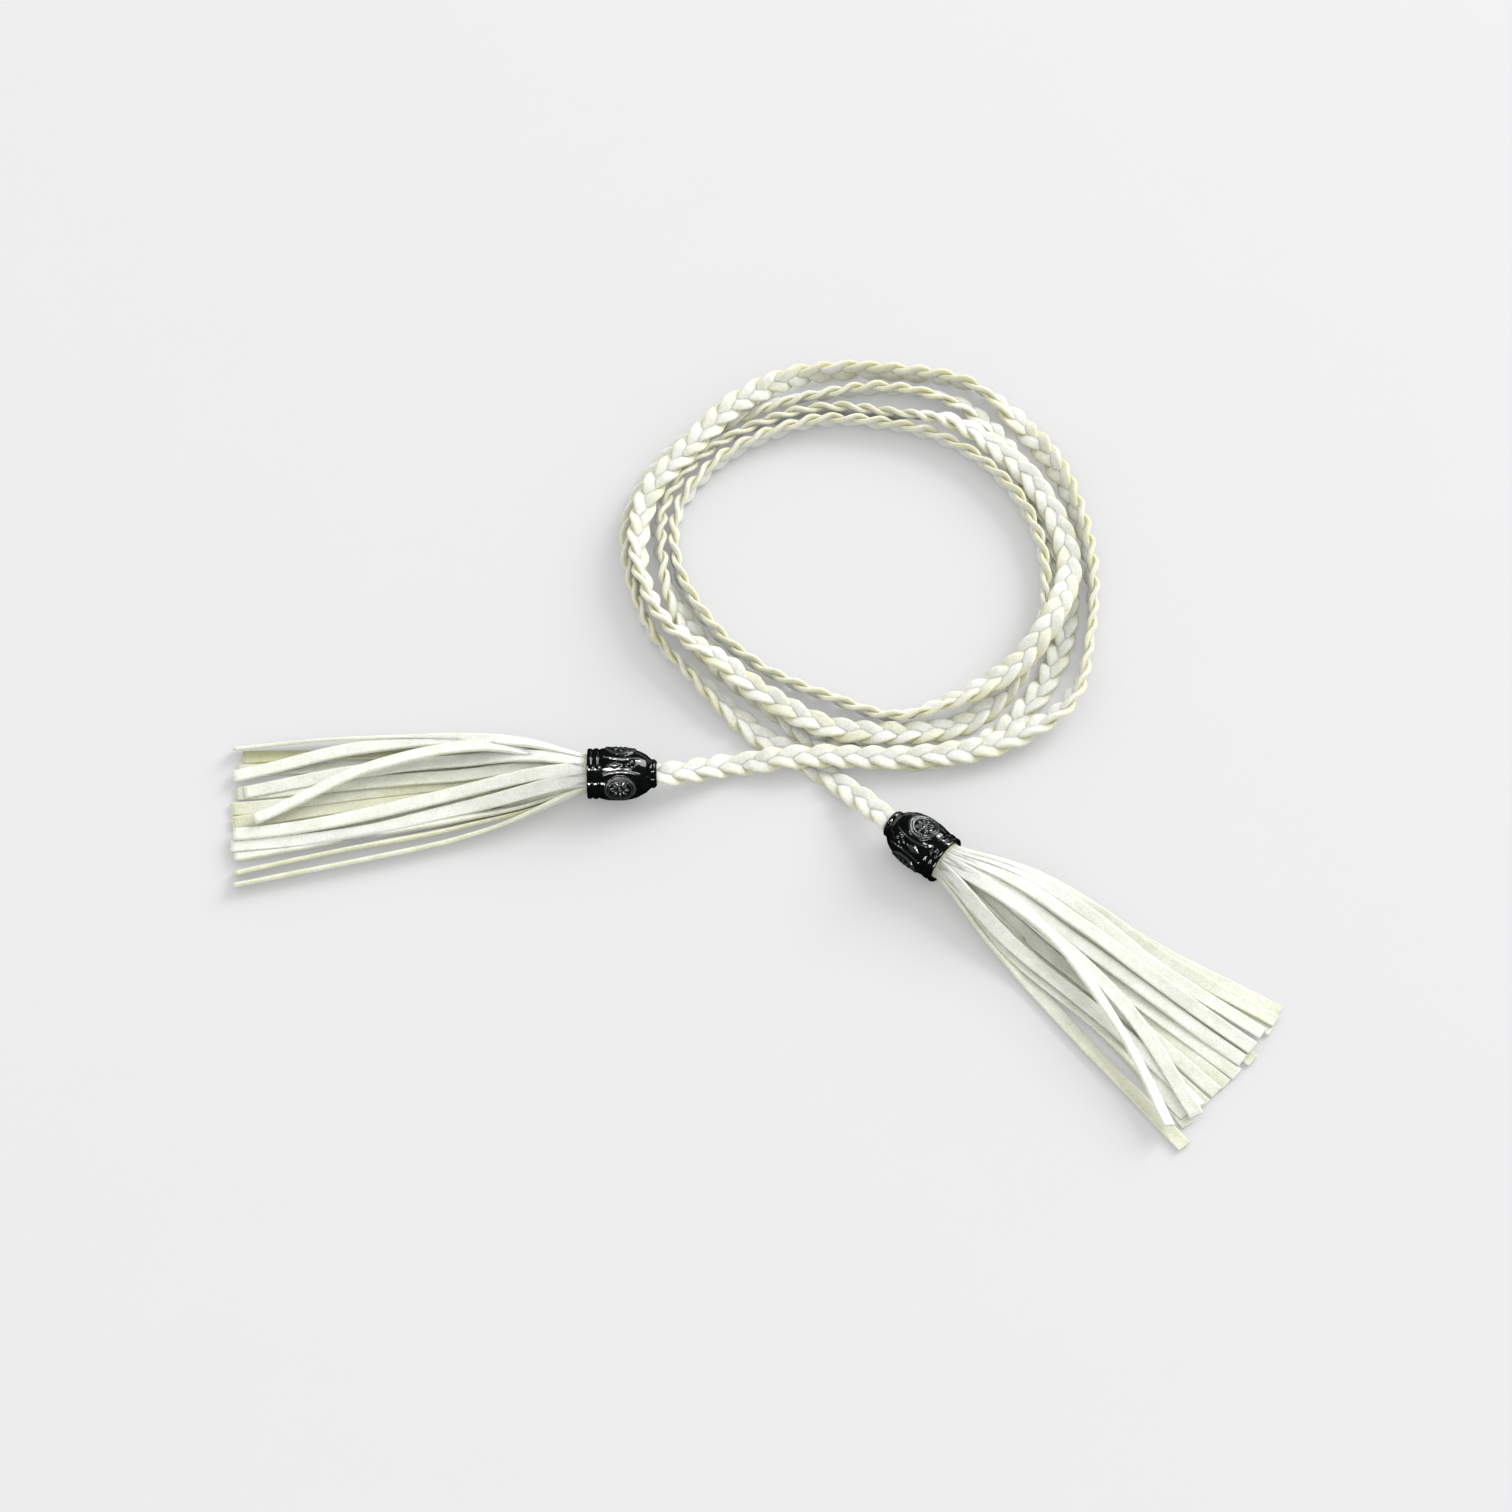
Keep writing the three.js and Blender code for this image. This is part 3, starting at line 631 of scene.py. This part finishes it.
def strip_part(row, low_shade, rng):
    """Vertices, faces and shades of one strip, along x from the mouth."""
    clock, share, third, two_thirds, tip, length, level, turn = row
    angle = math.radians(clock)
    leave = HEAD_RADIUS * share * np.array([math.cos(angle), math.sin(angle)])
    long = TASSEL_LENGTH * length
    plan = centripetal(np.array([
        (-ROOT_IN_HEAD, leave[0]),
        (0, leave[0]),
        (long / 3, TASSEL_LENGTH * third),
        (2 * long / 3, TASSEL_LENGTH * two_thirds),
        (long, TASSEL_LENGTH * tip),
    ]), PLAN_STEPS)
    run = np.concatenate([[0], np.cumsum(np.linalg.norm(np.diff(plan, axis=0), axis=1))])
    at = np.linspace(0, run[-1], STRIP_STEPS + 1)
    x = np.interp(at, run, plan[:, 0])
    y = np.interp(at, run, plan[:, 1])
    reach = x / long
    fallen = smooth(reach, 0, FALL_SHARE)
    loose = smooth(reach, *LOOSE)
    roll = clock % 180 - 90
    turning = roll + (turn - roll) * fallen + wander(at, *STRAY_TURN, rng) * loose
    settled = level * (1 - TIP_DROP * smooth(reach, DROP_FROM, 1))
    rest = lift(STRIP_WIDTH, STRIP_THICK, turn, settled, STRIP_LAYER)
    swell = SWELL * np.sin(np.pi * np.clip(x / SWELL_LENGTH, 0, 1)) ** SWELL_POWER
    y = y + swell * leave[0] / HEAD_RADIUS + wander(at, *STRAY_ASIDE, rng) * loose
    z = (BEAD_RADIUS + leave[1]) * (1 - fallen) + rest * fallen + swell * leave[1] / HEAD_RADIUS
    middle = np.column_stack([x, y, z])
    along = unit(np.gradient(middle, axis=0))
    level_way = unit(np.cross([0, 0, 1], along))
    up = np.cross(along, level_way)
    a = np.radians(turning)[:, None]
    wide = level_way * np.cos(a) + up * np.sin(a)
    thick = np.cross(along, wide)
    curl = wander(at, *STRAY_CURL, rng) * loose
    rings = np.stack([
        middle + wide * (STRIP_WIDTH * u) + thick * (STRIP_THICK * v + curl * (2 * u) ** 2)[:, None]
        for u, v in STRIP_SECTION
    ], axis=1)
    rings += rng.uniform(-STRIP_FUZZ, STRIP_FUZZ, rings.shape)
    rings[:, :, 2] = np.maximum(rings[:, :, 2], LEAST_HEIGHT)
    # Painted shade: lower, flatter strips are darker, by a random amount from strip to strip and along
    # each, and the cut edges are darker too.
    low = smooth(LOW_SHADE_LAYERS - level, 0, LOW_SHADE_LAYERS) * abs(math.cos(math.radians(turn)))
    low_shading = low_shade * low * (rng.uniform(*LOW_SHADE_RANGE) + wander(at, *STRAY_LOW_SHADE, rng))
    cut_edge_shading = np.array([CUT_EDGE_SHADE if abs(u) > CUT_FROM else 0 for u, v in STRIP_SECTION])
    tint = np.clip(low_shading[:, None] + cut_edge_shading[None, :], 0, 1)[:, :, None]
    vertices, faces = tube(rings)
    return vertices, faces, (WHITE * (1 - tint) + CREASE_SHADE * tint).reshape(-1, 3)


def head_part():
    """The round head that the strips leave, inside the bead, all in the crease colour as painted shade."""
    angles = -2 * np.pi * np.arange(HEAD_SIDES) / HEAD_SIDES
    profile = (
        (-HEAD_DEPTH, HEAD_END * HEAD_RADIUS),
        (HEAD_ROUNDING - HEAD_DEPTH, HEAD_RADIUS),
        (0, HEAD_RADIUS),
        (HEAD_ROUNDING, HEAD_END * HEAD_RADIUS),
    )
    rings = np.array([
        [(x, r * math.cos(a), BEAD_RADIUS + r * math.sin(a)) for a in angles]
        for x, r in profile
    ])
    vertices, faces = tube(rings)
    return vertices, faces, np.tile(CREASE_SHADE, (len(vertices), 1))


def placed(vertices, bead, from_neck):
    """Points of a bead's own frame, so far along from its neck, in the belt's frame."""
    a = math.radians(bead.heading)
    along = vertices[:, 0] + from_neck
    return np.column_stack([
        COIL_X + COIL_RADIUS * bead.x + along * math.cos(a) - vertices[:, 1] * math.sin(a),
        COIL_Y + COIL_RADIUS * bead.y + along * math.sin(a) + vertices[:, 1] * math.cos(a),
        vertices[:, 2],
    ])


def ridge(distance, width):
    """A round-topped ridge of height 1 at distance zero."""
    return np.clip(1 - (distance / width) ** 2, 0, 1) ** RIDGE_POWER


def round_from(clock, middle):
    """Distance round the bead's body from a clock angle, either way."""
    return np.radians((clock - middle + 180) % 360 - 180) * BODY_RADIUS


def rosette(along, aside):
    """Heights of a ring, a line, a heart and petals round the rosette's middle."""
    far = np.hypot(along, aside)
    direction = np.degrees(np.arctan2(aside, along))
    petal = np.abs((direction + HALF_PETAL) % (2 * HALF_PETAL) - HALF_PETAL) / HALF_PETAL
    petal_aside = petal * far * PETAL_SPREAD
    return [
        ridge(far - RING_RADIUS, RING_WIDTH),
        LINE_HEIGHT * ridge(far - LINE_RADIUS, LINE_WIDTH),
        ridge(far, HEART_RADIUS),
        ridge(np.hypot((far - PETAL_MIDDLE) / PETAL_LENGTH, petal_aside / PETAL_WIDTH), 1),
    ]


def leaf_and_bands(x, aside):
    """Heights of a leaf, of a band on each side of it and of dots before it."""
    shown = smooth(x / BEAD_LENGTH, *BAND_START) * (1 - smooth(x / BEAD_LENGTH, *BAND_END))
    bow = BAND_ASIDE + BAND_BOW * (x - BEAD_LENGTH / 2) ** 2
    leaf = ridge(np.abs(x - LEAF_PLACE * BEAD_LENGTH) / LEAF_LENGTH + np.abs(aside) / LEAF_WIDTH, 1)
    bands = [BAND_HEIGHT * shown * ridge(aside - way * bow, BAND_WIDTH) for way in (-1, 1)]
    dots = [ridge(np.hypot(x - place * BEAD_LENGTH, aside - across), DOT_RADIUS) for place, across in DOTS]
    return [leaf] + bands + dots


def relief(x, clock):
    """Height, from 0 to 1, of the carved ornament at a place along the bead and round it."""
    turn = 360 / CARVED_SIDES
    heights = []
    for side in range(CARVED_SIDES):
        heights += rosette(x - ROSETTE_PLACE * BEAD_LENGTH, round_from(clock, turn * side))
        heights += leaf_and_bands(x, round_from(clock, turn * (side + 0.5)))
    return np.maximum.reduce(heights)


def bead_part(roll):
    """Vertices, faces and shades of a bead along x from its neck."""
    places = np.linspace(0, 1, BEAD_RINGS)
    clock = np.arange(BEAD_SIDES) * 360 / BEAD_SIDES
    outline = BODY_RADIUS * np.interp(places, *zip(*BEAD_OUTLINE))
    soft = np.convolve(np.pad(outline, 1, mode="edge"), OUTLINE_BLUR, mode="valid")
    x, round_way = np.meshgrid(places * BEAD_LENGTH, clock, indexing="ij")
    raised = relief(x, round_way)
    radius = soft[:, None] + RELIEF_HEIGHT * raised
    angle = np.radians(round_way + roll)
    outside = np.stack([x, radius * np.cos(angle), BEAD_RADIUS + radius * np.sin(angle)], axis=2)
    inside = np.array([
        np.column_stack([np.full(BEAD_SIDES, place * BEAD_LENGTH), r * np.cos(angle[0]),
                         BEAD_RADIUS + r * np.sin(angle[0])])
        for place, r in BEAD_BORE
    ])
    rings = np.concatenate([outside, inside])
    count, sides = rings.shape[:2]
    faces = []
    for i in range(count):
        j = (i + 1) % count
        for k in range(sides):
            n = (k + 1) % sides
            faces.append((i * sides + k, j * sides + k, j * sides + n, i * sides + n))
    share = np.concatenate([raised, np.zeros((len(inside), sides))]).reshape(-1, 1)
    return rings.reshape(-1, 3), faces, BLACK * (1 - share) + WORN * share


def add_lamp(name, place, size, power):
    """A rectangular lamp that shines at the belt."""
    lamp_data = bpy.data.lights.new(name, "AREA")
    lamp_data.shape = "RECTANGLE"
    lamp_data.size, lamp_data.size_y = size
    lamp_data.energy = power
    lamp = bpy.data.objects.new(name, lamp_data)
    lamp.location = place
    lamp.rotation_euler = (Vector(LAMP_AIM) - lamp.location).to_track_quat("-Z", "Y").to_euler()
    bpy.context.collection.objects.link(lamp)
    return lamp


# Camera
camera_data = bpy.data.cameras.new("camera")
camera_data.lens = 85
camera_data.sensor_width = 36
camera = bpy.data.objects.new("camera", camera_data)
camera.location = (
    CAMERA_AIM[0],
    CAMERA_AIM[1] - CAMERA_DISTANCE * math.cos(CAMERA_ELEVATION),
    CAMERA_DISTANCE * math.sin(CAMERA_ELEVATION),
)
camera.rotation_euler = (math.pi / 2 - CAMERA_ELEVATION, 0, 0)
bpy.context.collection.objects.link(camera)
bpy.context.scene.camera = camera

# Braid: laces that pass over and under each other
rng = np.random.default_rng(SEED)
suede = make_suede()
run, middle, across, face = braid_route()
starts = [2 * np.pi * k / LACE_COUNT for k in range(LACE_COUNT)]
laces = [lace_part(run, middle, across, face, start, rng) for start in starts]
braid = add_mesh("braid_laces", laces, suede)
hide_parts("braid")

# Tassels
for side, rows in STRIPS.items():
    strips = [strip_part(row, LOW_SHADE[side], rng) for row in rows] + [head_part()]
    parts = [
        (placed(vertices, BEADS[side], BEAD_LENGTH), faces, shades)
        for vertices, faces, shades in strips
    ]
    tassel = add_mesh(f"tassel_strips_{side}", parts, suede)
    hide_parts(f"tassel_{side}")

# Beads
glaze = make_glaze()
for side, bead in BEADS.items():
    vertices, faces, shades = bead_part(bead.roll)
    carved = add_mesh(f"bead_carved_{side}", [(placed(vertices, bead, 0), faces, shades)], glaze)
    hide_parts(f"bead_{side}")

# Floor, kept out of reflections so that the glaze stays black
floor_mesh = bpy.data.meshes.new("floor")
floor_corners = [(FLOOR_HALF * x, FLOOR_HALF * y, 0) for x, y in ((-1, -1), (1, -1), (1, 1), (-1, 1))]
floor_mesh.from_pydata(floor_corners, [], [(0, 1, 2, 3)])
floor_mesh.materials.append(make_paper())
floor = bpy.data.objects.new("floor", floor_mesh)
bpy.context.collection.objects.link(floor)
floor.visible_glossy = False

# Light: a white sky kept out of reflections, a broad lamp from the right and behind, and the gleams
world = bpy.data.worlds.new("studio")
world.use_nodes = True
world.node_tree.nodes["Background"].inputs["Color"].default_value = (*SKY, 1)
world.node_tree.nodes["Background"].inputs["Strength"].default_value = SKY_STRENGTH
world.cycles_visibility.glossy = False
bpy.context.scene.world = world
add_lamp(*KEY)
for gleam in GLEAMS:
    lamp = add_lamp(*gleam)
    lamp.visible_diffuse = False
bpy.context.scene.view_settings.view_transform = "Standard"
